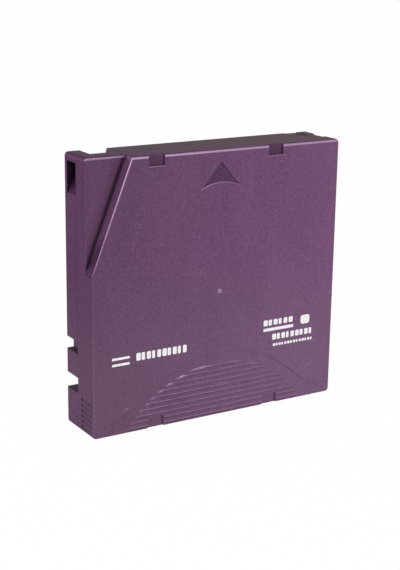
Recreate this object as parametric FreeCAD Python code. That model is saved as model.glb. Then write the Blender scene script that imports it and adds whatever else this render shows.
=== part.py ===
"""A half-inch, single-reel data tape cartridge, standing on its label edge.

Frame, in millimetres: +Z is the way the cartridge goes into its drive, so the
label edge is at Z = 0 and the leading edge is at the top. -Y is the arrow side
and +Y is the side with the reel window. The origin is the middle of the label
edge. "Left" is -X, the side that the loader grips; the tape door is on the right.
"""

import FreeCAD, Part
import math
import os

Vec = FreeCAD.Vector

# ---------------------------------------------------------------- case
CASE_WIDTH = 105.4
CASE_LENGTH = 102.0
CASE_THICKNESS = 21.5
TOP_SHELL_DEPTH = 12.2
PLATE = 1.5
SIDE_WALL = 2.0
FRONT_WALL = 2.0
LABEL_WALL = 1.8
CORNER_RADIUS = 1.5
EDGE_RADIUS = 0.9
NOTCH_EDGE_RADIUS = 0.3
SEAM_WIDTH = 0.12
SEAM_DEPTH = 0.12
RIB = 1.5
GAP = 0.2
SEATED = 0.02
TOUCH = 1e-4

# ---------------------------------------------------------------- insertion guide
GUIDE_WIDTH = 16.0
GUIDE_LENGTH = 41.0
GUIDE_DEPTH = 5.5
GUIDE_EDGE_RADIUS = 0.6

# ---------------------------------------------------------------- shallow dip in the leading edge
DIP_INSET = 5.2
DIP_LENGTH = 6.2
DIP_DEPTH = 0.35

# ---------------------------------------------------------------- arrow side
EDGE_NOTCH_WIDTH = 6.5
EDGE_NOTCH_HEIGHT = 4.0
EDGE_NOTCH_DEPTH = 1.1
EDGE_NOTCH_INSET_LEFT = 22.6
EDGE_NOTCH_INSET_RIGHT = 25.7
ARROW_WIDTH = 15.3
ARROW_HEIGHT = 8.7
ARROW_SAG = 1.6
ARROW_TIP_INSET = 4.8
ARROW_DEPTH = 0.6
ARROW_EDGE_RADIUS = 0.4
ARCH_RADIUS = 51.8
ARCH_HEIGHT = 24.85
ARCH_FLARE_RADIUS = 20.0
ARCH_SKIRT = 4.4
ARCH_DEPTH = 0.35
GRIP_RIB_INSET = 4.85
GRIP_RIB_PITCH = 2.08
GRIP_RIB_WIDTH = 1.1
GRIP_RIB_BORDER = 3.7
GRIP_RIB_TAPER = 1.0
SIDE_GROOVE_COUNT = 6
SIDE_GROOVE_DEPTH = 0.45
SIDE_GROOVE_WIDTH = 1.1
SIDE_GROOVE_LENGTH = 8.75
SIDE_GROOVE_INSET = 0.9

# ---------------------------------------------------------------- loader features on the left
GRIP_NOTCH_FRONT_Z = 29.1
GRIP_NOTCH_FRONT_HEIGHT = 4.85
GRIP_NOTCH_FRONT_DEPTH = 2.9
GRIP_NOTCH_REAR_Z = 14.1
GRIP_NOTCH_REAR_HEIGHT = 6.0
GRIP_NOTCH_REAR_DEPTH = 5.0
POCKET_Z = 87.2
POCKET_HEIGHT = 12.0
POCKET_DEPTH = 4.6
POCKET_RAMP_HEIGHT = 9.2
POCKET_PLATE = 2.4
SLOT_INSET = 5.6
SLOT_WIDTH = 6.2
SLOT_FLARE = 5.2
SLOT_LENGTH = 12.0

# ---------------------------------------------------------------- reel
REEL_OFFSET = 2.0
REEL_SIDE_ROOM = 4.2
REEL_LABEL_ROOM = 0.7
FLANGE_THICKNESS = 1.2
FLANGE_GAP = 13.3
HUB_RADIUS = 22.0
HUB_WALL = 2.0
HUB_FLOOR = 2.1
HUB_FACE_STEP = 0.45
HUB_LIP_WALL = 0.75
HUB_LIP_LENGTH = 1.5
TAPE_WIDTH = 12.65
TAPE_PACK_INSET = 1.0
TAPE_THICKNESS = 0.1
DRIVE_TEETH = 60
DRIVE_GEAR_RADIUS = 18.0
DRIVE_GEAR_FACE = 3.0
DRIVE_TOOTH_HEIGHT = 1.4
DRIVE_GAP_SHARE = 0.55
GEAR_FLANK_SHARE = 0.45
PLATE_INNER_RADIUS = 4.5
PLATE_THICKNESS = 1.2
WINDOW_RADIUS = 22.0
WINDOW_RING = 2.0
REEL_REST_GAP = 0.15
REEL_FENCE_GAP = 1.1
REEL_FENCE_HEIGHT = 4.0
REEL_FENCE_WALL = 0.75
REEL_FENCE_ARCS = ((60, 25), (112, 46), (202, 46), (292, 46))

# ---------------------------------------------------------------- brake and release pad
BRAKE_TEETH = 36
BRAKE_GEAR_RADIUS = 15.0
BRAKE_GEAR_FACE = 3.6
BRAKE_TOOTH_HEIGHT = 1.2
BRAKE_TOOTH_ROOT = 0.1
BRAKE_GAP_SHARE = 0.64
BRAKE_DISC = 1.6
BRAKE_BOSS_RADIUS = 5.0
BRAKE_BOSS_ROOM = 1.05
BRAKE_SLOT_WIDTH = 2.4
BRAKE_TRAVEL = 2.2
LOCK_SEGMENTS = 3
LOCK_SEGMENT_SWEEP = 70.0
LOCK_BLADE_LENGTH = 14.0
LOCK_BLADE_REACH = 6.7
PAD_THICKNESS = 1.0
PAD_CENTRE_RADIUS = 6.0
PAD_ARM_WIDTH = 3.0
PAD_LEG_RADIUS = 1.4
PAD_LEG_CLEARANCE = 0.3
PAD_LEG_RECESS = 0.3
BRAKE_SPRING_RADIUS = 11.0
BRAKE_SPRING_WIRE = 0.9
BRAKE_SPRING_TURNS = 3
SPRING_SEAT_RING = 1.1
SPRING_SEAT_HEIGHT = 1.5

# ---------------------------------------------------------------- tape door
DOOR_WINDOW_LENGTH = 15.2
DOOR_WINDOW_HEIGHT = 16.4
DOOR_WINDOW_FRONT = 2.8
DOOR_INSET = 1.5
DOOR_THICKNESS = 1.2
DOOR_OVERLAP = 1.8
DOOR_TRAVEL = 15.6
DOOR_TAB_WIDTH = 8.4
DOOR_TAB_OFFSET = 0.75
DOOR_TAB_INSET = 0.4
DOOR_LUG_DROP = 2.6
DOOR_LUG_WIDTH = 3.4
DOOR_SPRING_RADIUS = 1.35
DOOR_SPRING_WIRE = 0.4
DOOR_SPRING_LENGTH = 36.0
DOOR_SPRING_TURNS = 10

# ---------------------------------------------------------------- leader pin
PIN_INSET_X = 10.8
PIN_INSET_Z = 8.5
PIN_LENGTH = 17.8
PIN_HEAD_RADIUS = 2.7
PIN_HEAD_LENGTH = 1.5
PIN_NECK_RADIUS = 1.9
PIN_NECK_LENGTH = 0.45
PIN_COLLAR = 0.5
PIN_SHAFT_RADIUS = 1.5
PIN_STAND_WALL = 1.2
PIN_STAND_HEIGHT = 2.2
CLIP_WALL = 0.65
CLIP_LENGTH = 12.4
CLIP_MOUTH = 90.0
CLIP_START = 25.0
PIN_SPRING_SHEET = 0.25
PIN_SPRING_WIDTH = 9.0
PIN_SPRING_KNEE = 0.9
PIN_SPRING_BEND = 0.67

# ---------------------------------------------------------------- write-protect tab
TAB_WINDOW_INSET = 5.3
TAB_WINDOW_LENGTH = 10.5
TAB_WINDOW_HEIGHT = 6.4
TAB_TRAVEL = 4.8
TAB_PLATE = 1.3
TAB_WING = 1.3
TAB_LEDGE = 1.0
TAB_RIDGE_DEPTH = 0.7

# ---------------------------------------------------------------- label, chip, screws, locating holes
LABEL_LENGTH = 79.0
LABEL_HEIGHT = 16.8
LABEL_DEPTH = 0.35
LABEL_INSET_RIGHT = 3.5
CHIP_LENGTH = 16.0
CHIP_WIDTH = 6.0
CHIP_THICKNESS = 1.0
CHIP_INSET_X = 12.7
CHIP_GUSSET_WALL = 0.75
SCREW_LABEL_LEFT = (12.0, 12.0)
SCREW_LABEL_RIGHT = (11.4, 14.5)
SCREW_FRONT_LEFT = (17.5, 17.5)
SCREW_FRONT_RIGHT = (19.2, 15.0)
SCREW_POST_RADIUS = 2.8
SCREW_SHANK_RADIUS = 1.2
SCREW_LENGTH = 13.0
SCREW_HEAD_RADIUS = 2.1
SCREW_HEAD_HEIGHT = 1.3
SCREW_CROSS_REACH = 1.26
SCREW_CROSS_WIDTH = 0.5
SCREW_CLEARANCE = 0.1
LOCATING_HOLE_RADIUS = 2.5
LOCATING_HOLE_DEPTH = 3.5
LOCATING_HOLE_INSET = 8.2
LOCATING_HOLE_Z = 24.0
LOCATING_SLOT_STRETCH = 2.0

# ---------------------------------------------------------------- places worked out from the sizes
LEFT = -CASE_WIDTH / 2
RIGHT = CASE_WIDTH / 2
ARROW_FACE = -CASE_THICKNESS / 2
WINDOW_FACE = CASE_THICKNESS / 2
SEAM = ARROW_FACE + TOP_SHELL_DEPTH
ARROW_INNER = ARROW_FACE + PLATE
WINDOW_INNER = WINDOW_FACE - PLATE
FRONT = CASE_LENGTH
FRONT_INNER = CASE_LENGTH - FRONT_WALL
LEFT_INNER = LEFT + SIDE_WALL
RIGHT_INNER = RIGHT - SIDE_WALL
OUT = 5.0

REEL_Z = CASE_LENGTH / 2 - REEL_OFFSET
FLANGE_RADIUS = min(RIGHT_INNER - REEL_SIDE_ROOM, REEL_Z - LABEL_WALL - REEL_LABEL_ROOM)
TAPE_PACK_RADIUS = FLANGE_RADIUS - TAPE_PACK_INSET
FLANGE_INNER_Y = FLANGE_GAP / 2
FLANGE_OUTER_Y = FLANGE_INNER_Y + FLANGE_THICKNESS
HUB_INNER_RADIUS = HUB_RADIUS - HUB_WALL
HUB_FACE_Y = FLANGE_OUTER_Y + HUB_FACE_STEP
HUB_FLOOR_Y = HUB_FACE_Y - HUB_FLOOR

PAD_FACE_Y = HUB_FLOOR_Y - PAD_THICKNESS - BRAKE_TOOTH_ROOT
LOCK_TIP_Y = PAD_FACE_Y - BRAKE_TOOTH_HEIGHT
BRAKE_FACE_Y = LOCK_TIP_Y - BRAKE_TOOTH_ROOT
BRAKE_BACK_Y = BRAKE_FACE_Y - BRAKE_DISC
BRAKE_BOSS_END_Y = ARROW_INNER + BRAKE_TRAVEL + BRAKE_BOSS_ROOM

DOOR_OUTER_X = RIGHT - DOOR_INSET
DOOR_INNER_X = DOOR_OUTER_X - DOOR_THICKNESS
DOOR_TRACK_X = DOOR_OUTER_X + GAP
DOOR_FRONT_Z = FRONT_INNER - GAP
DOOR_WINDOW_TOP = FRONT - DOOR_WINDOW_FRONT
DOOR_WINDOW_BASE = DOOR_WINDOW_TOP - DOOR_WINDOW_LENGTH
DOOR_BACK_Z = DOOR_WINDOW_BASE - DOOR_OVERLAP
DOOR_HALF_HEIGHT = WINDOW_INNER - GAP
SPRING_X = DOOR_INNER_X - DOOR_SPRING_RADIUS - DOOR_SPRING_WIRE / 2 + GAP
DOOR_SPRING_TOP = DOOR_BACK_Z - DOOR_LUG_DROP
DOOR_SPRING_BASE = DOOR_SPRING_TOP - DOOR_SPRING_LENGTH

SCREW_PLACES = (
    (LEFT + SCREW_LABEL_LEFT[0], SCREW_LABEL_LEFT[1]),
    (RIGHT - SCREW_LABEL_RIGHT[0], SCREW_LABEL_RIGHT[1]),
    (LEFT + SCREW_FRONT_LEFT[0], FRONT - SCREW_FRONT_LEFT[1]),
    (RIGHT - SCREW_FRONT_RIGHT[0], FRONT - SCREW_FRONT_RIGHT[1]))
LOCATING_HOLE_X = RIGHT - LOCATING_HOLE_INSET

PIN_X = RIGHT - PIN_INSET_X
PIN_Z = FRONT - PIN_INSET_Z
TAB_LEFT = LEFT + TAB_WINDOW_INSET


# ---------------------------------------------------------------- small tools
def box(x_span, y_span, z_span):
    """A block between (low, high) pairs on each axis."""
    low = Vec(x_span[0], y_span[0], z_span[0])
    return Part.makeBox(x_span[1] - low.x, y_span[1] - low.y, z_span[1] - low.z, low)


def disc(x, z, radius, y_span):
    """A cylinder along Y."""
    return Part.makeCylinder(radius, y_span[1] - y_span[0], Vec(x, y_span[0], z), Vec(0, 1, 0))


def ring(x, z, inner, outer, y_span):
    return disc(x, z, outer, y_span).cut(disc(x, z, inner, y_span))


def prism(points, push):
    """A closed outline of straight sides, pushed along a vector."""
    return Part.Face(Part.makePolygon(points + points[:1])).extrude(push)


def prism_y(outline, y_span):
    points = [Vec(x, y_span[0], z) for x, z in outline]
    return prism(points, Vec(0, y_span[1] - y_span[0], 0))


def fuse_all(shapes):
    return shapes[0].fuse(shapes[1:]).removeSplitter() if len(shapes) > 1 else shapes[0]


def cut_all(shape, tools):
    return shape.cut(tools).removeSplitter()


def spin(shape, degrees):
    """A copy turned about the reel's axis."""
    turned = shape.copy()
    turned.rotate(Vec(0, 0, REEL_Z), Vec(0, 1, 0), degrees)
    return turned


def spun_copies(shape, count):
    return [spin(shape, 360.0 * i / count) for i in range(count)]


def mirrored_x(shape):
    return shape.mirror(Vec(0, 0, 0), Vec(1, 0, 0))


def mirrored_y(shape):
    return shape.mirror(Vec(0, 0, 0), Vec(0, 1, 0))


def arc_band(inner, outer, y_span, start, sweep):
    """A piece of a ring about the reel's axis. Angles are in degrees from +X towards +Z."""
    points = [Vec(radius, y, 0) for radius, y in
              ((inner, y_span[0]), (outer, y_span[0]), (outer, y_span[1]), (inner, y_span[1]))]
    face = Part.Face(Part.makePolygon(points + points[:1]))
    face.translate(Vec(0, 0, REEL_Z))
    face.rotate(Vec(0, 0, REEL_Z), Vec(0, 1, 0), -start)
    return face.revolve(Vec(0, 0, REEL_Z), Vec(0, 1, 0), -sweep)


def turned_y(x, z, profile):
    """A piece turned about a line along Y. The profile is a list of (radius, y)."""
    points = [Vec(x + radius, y, z) for radius, y in profile]
    return Part.Face(Part.makePolygon(points + points[:1])).revolve(Vec(x, 0, z), Vec(0, 1, 0), 360)


def face_gear_gaps(count, radius, width, root_y, tip_y, share):
    """The gaps between radial teeth that point along Y. share is the gap's width at mid height, in
    pitches."""
    pitch = 2 * math.pi * radius / count
    middle = pitch * share / 2
    slope = middle * GEAR_FLANK_SHARE
    rise = tip_y - root_y
    outline = [(-middle + slope, root_y), (middle - slope, root_y),
               (middle + 2 * slope, tip_y + rise / 2), (-middle - 2 * slope, tip_y + rise / 2)]
    points = [Vec(radius - width, y, REEL_Z + z) for z, y in outline]
    return spun_copies(prism(points, Vec(2 * width, 0, 0)), count)


def coil(radius, wire, length, turns, base, direction):
    """A spring of round wire along a direction. It is made of half turns, tilted one way and the other, that
    meet squarely. The first and the last lie flat, as on a spring with closed ends."""
    rising = 2 * turns - 2
    half_turns = []
    height = wire / 2
    for i in range(2 * turns):
        rise = 0 if i in (0, 2 * turns - 1) else (length - wire) / rising
        side = 1 if i % 2 == 0 else -1
        start = Vec(side * radius, 0, height)
        centre = Vec(0, 0, height + rise / 2)
        section = Part.Face(Part.Wire(Part.Circle(start, Vec(0, 1, 0), wire / 2).toShape()))
        half_turns.append(section.revolve(centre, (start - centre).cross(Vec(0, side, 0)), 180))
        height += rise
    spring = fuse_all(half_turns)
    spring.Placement = FreeCAD.Placement(base, FreeCAD.Rotation(Vec(0, 0, 1), direction))
    return spring


# ---------------------------------------------------------------- case outside
def guide_line_x(z):
    """Where the insertion guide's slanting wall is, at a height."""
    return LEFT + GUIDE_WIDTH - (FRONT - z) * GUIDE_WIDTH / GUIDE_LENGTH


def guide_corner(shift, y_span):
    """The corner cut away by the insertion guide, with its slanting wall moved along X."""
    low = FRONT - GUIDE_LENGTH * (GUIDE_WIDTH + shift + OUT) / GUIDE_WIDTH
    outline = [(LEFT - OUT, FRONT + OUT), (guide_line_x(FRONT + OUT) + shift, FRONT + OUT), (LEFT - OUT, low)]
    return prism_y(outline, y_span)


def rounded_block():
    """The whole outside: a slab with rounded corners, less the insertion guide, the edge notches and the
    arrow."""
    slab = box((LEFT, RIGHT), (ARROW_FACE, WINDOW_FACE), (0, FRONT))
    slab = rounded(slab, CORNER_RADIUS, is_corner)
    slab = rounded(slab, EDGE_RADIUS, is_rim)
    slab = slab.cut(guide_corner(0, (ARROW_FACE - OUT, ARROW_FACE + GUIDE_DEPTH)))
    slab = rounded(slab, GUIDE_EDGE_RADIUS, is_guide_edge)
    slab = slab.cut(edge_notch_boxes(0))
    slab = rounded(slab, NOTCH_EDGE_RADIUS, is_notch_edge)
    slab = slab.cut(arrow())
    return rounded(slab, ARROW_EDGE_RADIUS, is_arrow_edge)


def rounded(solid, radius, chosen):
    """The solid with every edge rounded that the test called chosen picks out."""
    return solid.makeFillet(radius, [e for e in solid.Edges if chosen(e)])


def middle_of(edge):
    return edge.valueAt((edge.FirstParameter + edge.LastParameter) / 2)


def lies_flat(edge, y):
    """Whether an edge lies wholly at one depth."""
    return all(abs(point.y - y) < TOUCH for point in [v.Point for v in edge.Vertexes] + [middle_of(edge)])


def is_corner(edge):
    """The slab's four edges along Y."""
    return not lies_flat(edge, ARROW_FACE) and not lies_flat(edge, WINDOW_FACE)


def is_rim(edge):
    """The edges round the two broad faces."""
    return lies_flat(edge, ARROW_FACE) or lies_flat(edge, WINDOW_FACE)


def is_guide_edge(edge):
    """The edges of the guide's floor and slanting wall, but not the inside corner between them."""
    mid = middle_of(edge)
    on_wall = abs(mid.x - guide_line_x(mid.z)) < TOUCH
    if lies_flat(edge, ARROW_FACE + GUIDE_DEPTH):
        return not on_wall
    return on_wall


def is_notch_edge(edge):
    """The edges where a notch's walls and floor meet the outside, but not the corners inside it. An edge
    lies on one of the notch's own planes, and a corner inside it lies on two."""
    mid = middle_of(edge)
    floor = ARROW_FACE + EDGE_NOTCH_DEPTH
    for x_span, z_span, wall_z in edge_notches():
        near = x_span[0] - TOUCH < mid.x < x_span[1] + TOUCH and z_span[0] - TOUCH < mid.z < z_span[1] + TOUCH
        gaps = (mid.x - x_span[0], mid.x - x_span[1], mid.z - wall_z, mid.y - floor)
        if near and mid.y < floor + TOUCH and sum(abs(gap) < TOUCH for gap in gaps) == 1:
            return True
    return False


def is_arrow_edge(edge):
    """The three edges where the arrow's walls meet the face."""
    mid = middle_of(edge)
    tip = FRONT - ARROW_TIP_INSET
    return lies_flat(edge, ARROW_FACE) and abs(mid.x) < ARROW_WIDTH / 2 and tip - ARROW_HEIGHT < mid.z < tip


def leading_edge_dip():
    """The shallow dip in the window side's leading edge, next to the corner by the door."""
    right = RIGHT - DIP_INSET
    return box((right - DIP_LENGTH, right), (SEAM, WINDOW_FACE + OUT), (FRONT - DIP_DEPTH, FRONT + OUT))


def seam_groove():
    """The fine groove that runs round the case where the two shells meet."""
    outer = box((LEFT - OUT, RIGHT + OUT), (SEAM - SEAM_WIDTH / 2, SEAM + SEAM_WIDTH / 2),
                (-OUT, FRONT + OUT))
    inner = box((LEFT + SEAM_DEPTH, RIGHT - SEAM_DEPTH), (SEAM - OUT, SEAM + OUT),
                (SEAM_DEPTH, FRONT - SEAM_DEPTH))
    return outer.cut(inner)


# ---------------------------------------------------------------- what is cut into the case
def edge_notches():
    """The four small notches along the leading and label edges of the arrow side: the span on X, the span
    on Z, and which end of that is the notch's wall."""
    notches = []
    for low in (LEFT + EDGE_NOTCH_INSET_LEFT, RIGHT - EDGE_NOTCH_INSET_RIGHT - EDGE_NOTCH_WIDTH):
        x_span = (low, low + EDGE_NOTCH_WIDTH)
        notches.append((x_span, (FRONT - EDGE_NOTCH_HEIGHT, FRONT), FRONT - EDGE_NOTCH_HEIGHT))
        notches.append((x_span, (0, EDGE_NOTCH_HEIGHT), EDGE_NOTCH_HEIGHT))
    return notches


def edge_notch_boxes(grow):
    """What the edge notches take away, larger by grow inside the case."""
    boxes = []
    for x_span, z_span, wall_z in edge_notches():
        low, high = (z_span[0] - grow, FRONT + OUT) if wall_z == z_span[0] else (-OUT, z_span[1] + grow)
        boxes.append(box((x_span[0] - grow, x_span[1] + grow),
                         (ARROW_FACE - OUT, ARROW_FACE + EDGE_NOTCH_DEPTH + grow), (low, high)))
    return boxes


def grip_notch_boxes(grow):
    """The two notches in the left edge that a loader's gripper takes hold of. They stop at the seam."""
    return [box((LEFT - OUT, LEFT + depth + grow), (SEAM - grow, WINDOW_FACE + OUT),
                (z - grow, z + height + grow))
            for z, height, depth in (
                (GRIP_NOTCH_FRONT_Z, GRIP_NOTCH_FRONT_HEIGHT, GRIP_NOTCH_FRONT_DEPTH),
                (GRIP_NOTCH_REAR_Z, GRIP_NOTCH_REAR_HEIGHT, GRIP_NOTCH_REAR_DEPTH))]


def pocket():
    """The ramped pocket in the left edge, from the seam to a thick plate on the window side."""
    top = POCKET_Z + POCKET_HEIGHT
    outline = [(LEFT - OUT, top), (LEFT + POCKET_DEPTH, top),
               (LEFT + POCKET_DEPTH, POCKET_Z + POCKET_RAMP_HEIGHT),
               (LEFT, POCKET_Z), (LEFT - OUT, POCKET_Z)]
    return prism_y(outline, (SEAM, WINDOW_FACE - POCKET_PLATE))


def front_slot(grow):
    """The flared slot in the leading edge, open to the window side. It stops at the seam."""
    left = LEFT + SLOT_INSET
    right = left + SLOT_WIDTH
    slope = SLOT_FLARE / (WINDOW_FACE - SEAM)
    reach = WINDOW_FACE + OUT - SEAM
    points = [Vec(left - grow, SEAM - grow, 0), Vec(right + grow - slope * grow, SEAM - grow, 0),
              Vec(right + grow + slope * reach, SEAM + reach, 0), Vec(left - grow, SEAM + reach, 0)]
    for point in points:
        point.z = FRONT - SLOT_LENGTH - grow
    return prism(points, Vec(0, 0, SLOT_LENGTH + grow + OUT))


def arrow():
    """The insertion arrow: a triangle with a hollow base."""
    tip = Vec(0, ARROW_FACE - OUT, FRONT - ARROW_TIP_INSET)
    left = tip + Vec(-ARROW_WIDTH / 2, 0, -ARROW_HEIGHT)
    right = tip + Vec(ARROW_WIDTH / 2, 0, -ARROW_HEIGHT)
    middle = tip + Vec(0, 0, ARROW_SAG - ARROW_HEIGHT)
    sides = [Part.makeLine(left, tip), Part.makeLine(tip, right), Part.Arc(right, middle, left).toShape()]
    return Part.Face(Part.Wire(sides)).extrude(Vec(0, OUT + ARROW_DEPTH, 0))


def arch_field():
    """The sunk grip field by the label edge: an arch that flares out into a low skirt."""
    centre_z = ARCH_HEIGHT - ARCH_RADIUS
    flare_z = ARCH_SKIRT + ARCH_FLARE_RADIUS
    flare_x = math.sqrt((ARCH_RADIUS + ARCH_FLARE_RADIUS) ** 2 - (flare_z - centre_z) ** 2)
    share = ARCH_RADIUS / (ARCH_RADIUS + ARCH_FLARE_RADIUS)
    y = ARROW_FACE - OUT
    crown = Vec(0, y, ARCH_HEIGHT)
    join = Vec(flare_x * share, y, centre_z + (flare_z - centre_z) * share)
    foot = Vec(flare_x, y, ARCH_SKIRT)
    half_turn = math.atan2(flare_x - join.x, flare_z - join.z) / 2
    bend = Vec(flare_x - ARCH_FLARE_RADIUS * math.sin(half_turn), y,
               flare_z - ARCH_FLARE_RADIUS * math.cos(half_turn))

    def other(point):
        return Vec(-point.x, point.y, point.z)

    end = Vec(RIGHT + OUT, y, ARCH_SKIRT)
    base = Vec(RIGHT + OUT, y, -OUT)
    sides = [Part.Arc(other(join), crown, join).toShape(), Part.Arc(join, bend, foot).toShape(),
             Part.makeLine(foot, end), Part.makeLine(end, base), Part.makeLine(base, other(base)),
             Part.makeLine(other(base), other(end)), Part.makeLine(other(end), other(foot)),
             Part.Arc(other(foot), other(bend), other(join)).toShape()]
    return Part.Face(Part.Wire(sides)).extrude(Vec(0, OUT + ARCH_DEPTH, 0))


def grip_rib_levels():
    """How high each grip rib is, from the top one down to the last that clears the label edge."""
    top = ARCH_HEIGHT - GRIP_RIB_INSET
    count = int((top - EDGE_RADIUS) / GRIP_RIB_PITCH) + 1
    return [top - i * GRIP_RIB_PITCH for i in range(count)]


def grip_ribs():
    """Rounded ribs across the grip field. Their ends slope down to an arc inside the field's edge."""
    half = GRIP_RIB_WIDTH / 2
    radius = (half ** 2 + ARCH_DEPTH ** 2) / (2 * ARCH_DEPTH)
    inner = ARCH_RADIUS - GRIP_RIB_BORDER
    clip = Part.makeCone(inner - GRIP_RIB_TAPER, inner, ARCH_DEPTH,
                         Vec(0, ARROW_FACE, ARCH_HEIGHT - ARCH_RADIUS),
                         Vec(0, 1, 0))
    clip = clip.common(box((LEFT, RIGHT), (ARROW_FACE, SEAM), (0, FRONT)))
    rods = [Part.makeCylinder(radius, CASE_WIDTH, Vec(LEFT, ARROW_FACE + radius, z), Vec(1, 0, 0))
            for z in grip_rib_levels()]
    return [rod.common(clip) for rod in rods]


def side_grooves():
    """Grip grooves across the left and right edges, low on the top shell, each between two grip ribs."""
    half = SIDE_GROOVE_WIDTH / 2
    radius = (half ** 2 + SIDE_GROOVE_DEPTH ** 2) / (2 * SIDE_GROOVE_DEPTH)
    lowest = grip_rib_levels()[-1] + GRIP_RIB_PITCH / 2
    start = Vec(LEFT + SIDE_GROOVE_DEPTH - radius, ARROW_FACE + SIDE_GROOVE_INSET, 0)
    grooves = []
    for i in range(SIDE_GROOVE_COUNT):
        start.z = lowest + i * GRIP_RIB_PITCH
        groove = Part.makeCylinder(radius, SIDE_GROOVE_LENGTH, start, Vec(0, 1, 0))
        grooves += [groove, mirrored_x(groove)]
    return grooves


def door_cuts():
    """The window in the right edge, the thinned track that the door slides in, and the tab's way out in
    front."""
    half = DOOR_WINDOW_HEIGHT / 2
    window = box((RIGHT - SIDE_WALL - OUT, RIGHT + OUT), (-half, half), (DOOR_WINDOW_BASE, DOOR_WINDOW_TOP))
    track = box((RIGHT_INNER - OUT, DOOR_TRACK_X), (ARROW_INNER, WINDOW_INNER),
                (DOOR_SPRING_TOP - DOOR_TRAVEL - 2 * GAP, FRONT_INNER))
    tab_half = DOOR_TAB_WIDTH / 2 + GAP
    tab_way = box((DOOR_INNER_X - GAP, RIGHT + OUT), (DOOR_TAB_OFFSET - tab_half, DOOR_TAB_OFFSET + tab_half),
                  (DOOR_WINDOW_TOP - GAP, FRONT + OUT))
    return [window, track, tab_way]


def tab_window():
    half = TAB_WINDOW_HEIGHT / 2
    return box((TAB_LEFT, TAB_LEFT + TAB_WINDOW_LENGTH), (-half, half), (-OUT, LABEL_WALL + GAP))


def label_recess():
    right = RIGHT - LABEL_INSET_RIGHT
    return box((right - LABEL_LENGTH, right), (-LABEL_HEIGHT / 2, LABEL_HEIGHT / 2), (-OUT, LABEL_DEPTH))


def locating_hole(x, radius, stretch, y_low):
    """A blind round hole in the window side, or a slot of the same width where stretch is over 0."""
    y_span = (y_low, WINDOW_FACE + OUT)
    if not stretch:
        return disc(x, LOCATING_HOLE_Z, radius, y_span)
    ends = [disc(x + side * stretch / 2, LOCATING_HOLE_Z, radius, y_span) for side in (-1, 1)]
    middle = box((x - stretch / 2, x + stretch / 2), y_span,
                 (LOCATING_HOLE_Z - radius, LOCATING_HOLE_Z + radius))
    return fuse_all(ends + [middle])


def locating_holes(grow):
    y_low = WINDOW_FACE - LOCATING_HOLE_DEPTH - grow
    return [locating_hole(LOCATING_HOLE_X, LOCATING_HOLE_RADIUS + grow, 0, y_low),
            locating_hole(-LOCATING_HOLE_X - LOCATING_SLOT_STRETCH / 2, LOCATING_HOLE_RADIUS + grow,
                          LOCATING_SLOT_STRETCH, y_low)]


# ---------------------------------------------------------------- case inside
def cavity():
    """The room inside the walls, less what stays solid round the notches, slot, pocket and guide."""
    room = box((LEFT_INNER, RIGHT_INNER), (ARROW_INNER, WINDOW_INNER), (LABEL_WALL, FRONT_INNER))
    pocket_wall = box((LEFT, LEFT + POCKET_DEPTH + RIB), (SEAM - RIB, WINDOW_FACE), (POCKET_Z - RIB, FRONT))
    kept = [guide_corner(SIDE_WALL, (ARROW_FACE - OUT, ARROW_FACE + GUIDE_DEPTH + PLATE)), front_slot(RIB),
            pocket_wall]
    kept += edge_notch_boxes(RIB) + grip_notch_boxes(RIB) + locating_holes(PLATE)
    return room.cut(kept)


def reel_fences(face_y, inward):
    """Low walls on a plate, round the reel's flange, clear of the tape's way to the door."""
    inner = FLANGE_RADIUS + REEL_FENCE_GAP
    y_span = sorted((face_y, face_y + inward * REEL_FENCE_HEIGHT))
    return [arc_band(inner, inner + REEL_FENCE_WALL, y_span, start, sweep)
            for start, sweep in REEL_FENCE_ARCS]


def pin_stand(face_y, inward):
    """A socket on a plate for one end of the leader pin, open towards the door."""
    y_span = sorted((face_y, face_y + inward * PIN_STAND_HEIGHT))
    inner = PIN_HEAD_RADIUS + SEATED
    outer = inner + PIN_STAND_WALL
    mouth = PIN_X + PIN_HEAD_RADIUS - GAP / 2
    shell = disc(PIN_X, PIN_Z, outer, y_span).fuse(
        box((PIN_X, mouth), y_span, (PIN_Z - outer, PIN_Z + outer)))
    shell = shell.common(box((PIN_X - outer, mouth), y_span, (PIN_Z - outer, PIN_Z + outer)))
    bore = disc(PIN_X, PIN_Z, inner, y_span).fuse(
        box((PIN_X, mouth + OUT), y_span, (PIN_Z - inner, PIN_Z + inner)))
    return shell.cut(bore)


def door_rail(face_y, inward):
    """A rail that keeps the door's edge against the right wall behind the window."""
    y_span = sorted((face_y, face_y + inward * RIB))
    x = DOOR_INNER_X - GAP
    return box((x - RIB / 2, x), y_span, (DOOR_BACK_Z - DOOR_TRAVEL, DOOR_WINDOW_BASE))


def tab_channel(face_y, inward):
    """The channel on one shell that the write-protect tab slides in."""
    x_span = (LEFT_INNER, TAB_LEFT + TAB_WINDOW_LENGTH + RIB)
    side_y = -inward * (TAB_WINDOW_HEIGHT / 2 + TAB_WING)
    ledge_y = -inward * (TAB_WINDOW_HEIGHT / 2)
    ledge_z = LABEL_WALL + TAB_PLATE + 2 * GAP
    side = box(x_span, sorted((face_y, side_y - inward * GAP)), (LABEL_WALL, ledge_z))
    ledge = box(x_span, sorted((face_y, ledge_y)), (ledge_z, ledge_z + TAB_LEDGE))
    return side.fuse(ledge)


def shell_insides(face_y, inward):
    """What both shells carry on their plate's inner face."""
    return reel_fences(face_y, inward) + [
        pin_stand(face_y, inward), door_rail(face_y, inward), tab_channel(face_y, inward)]


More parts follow.
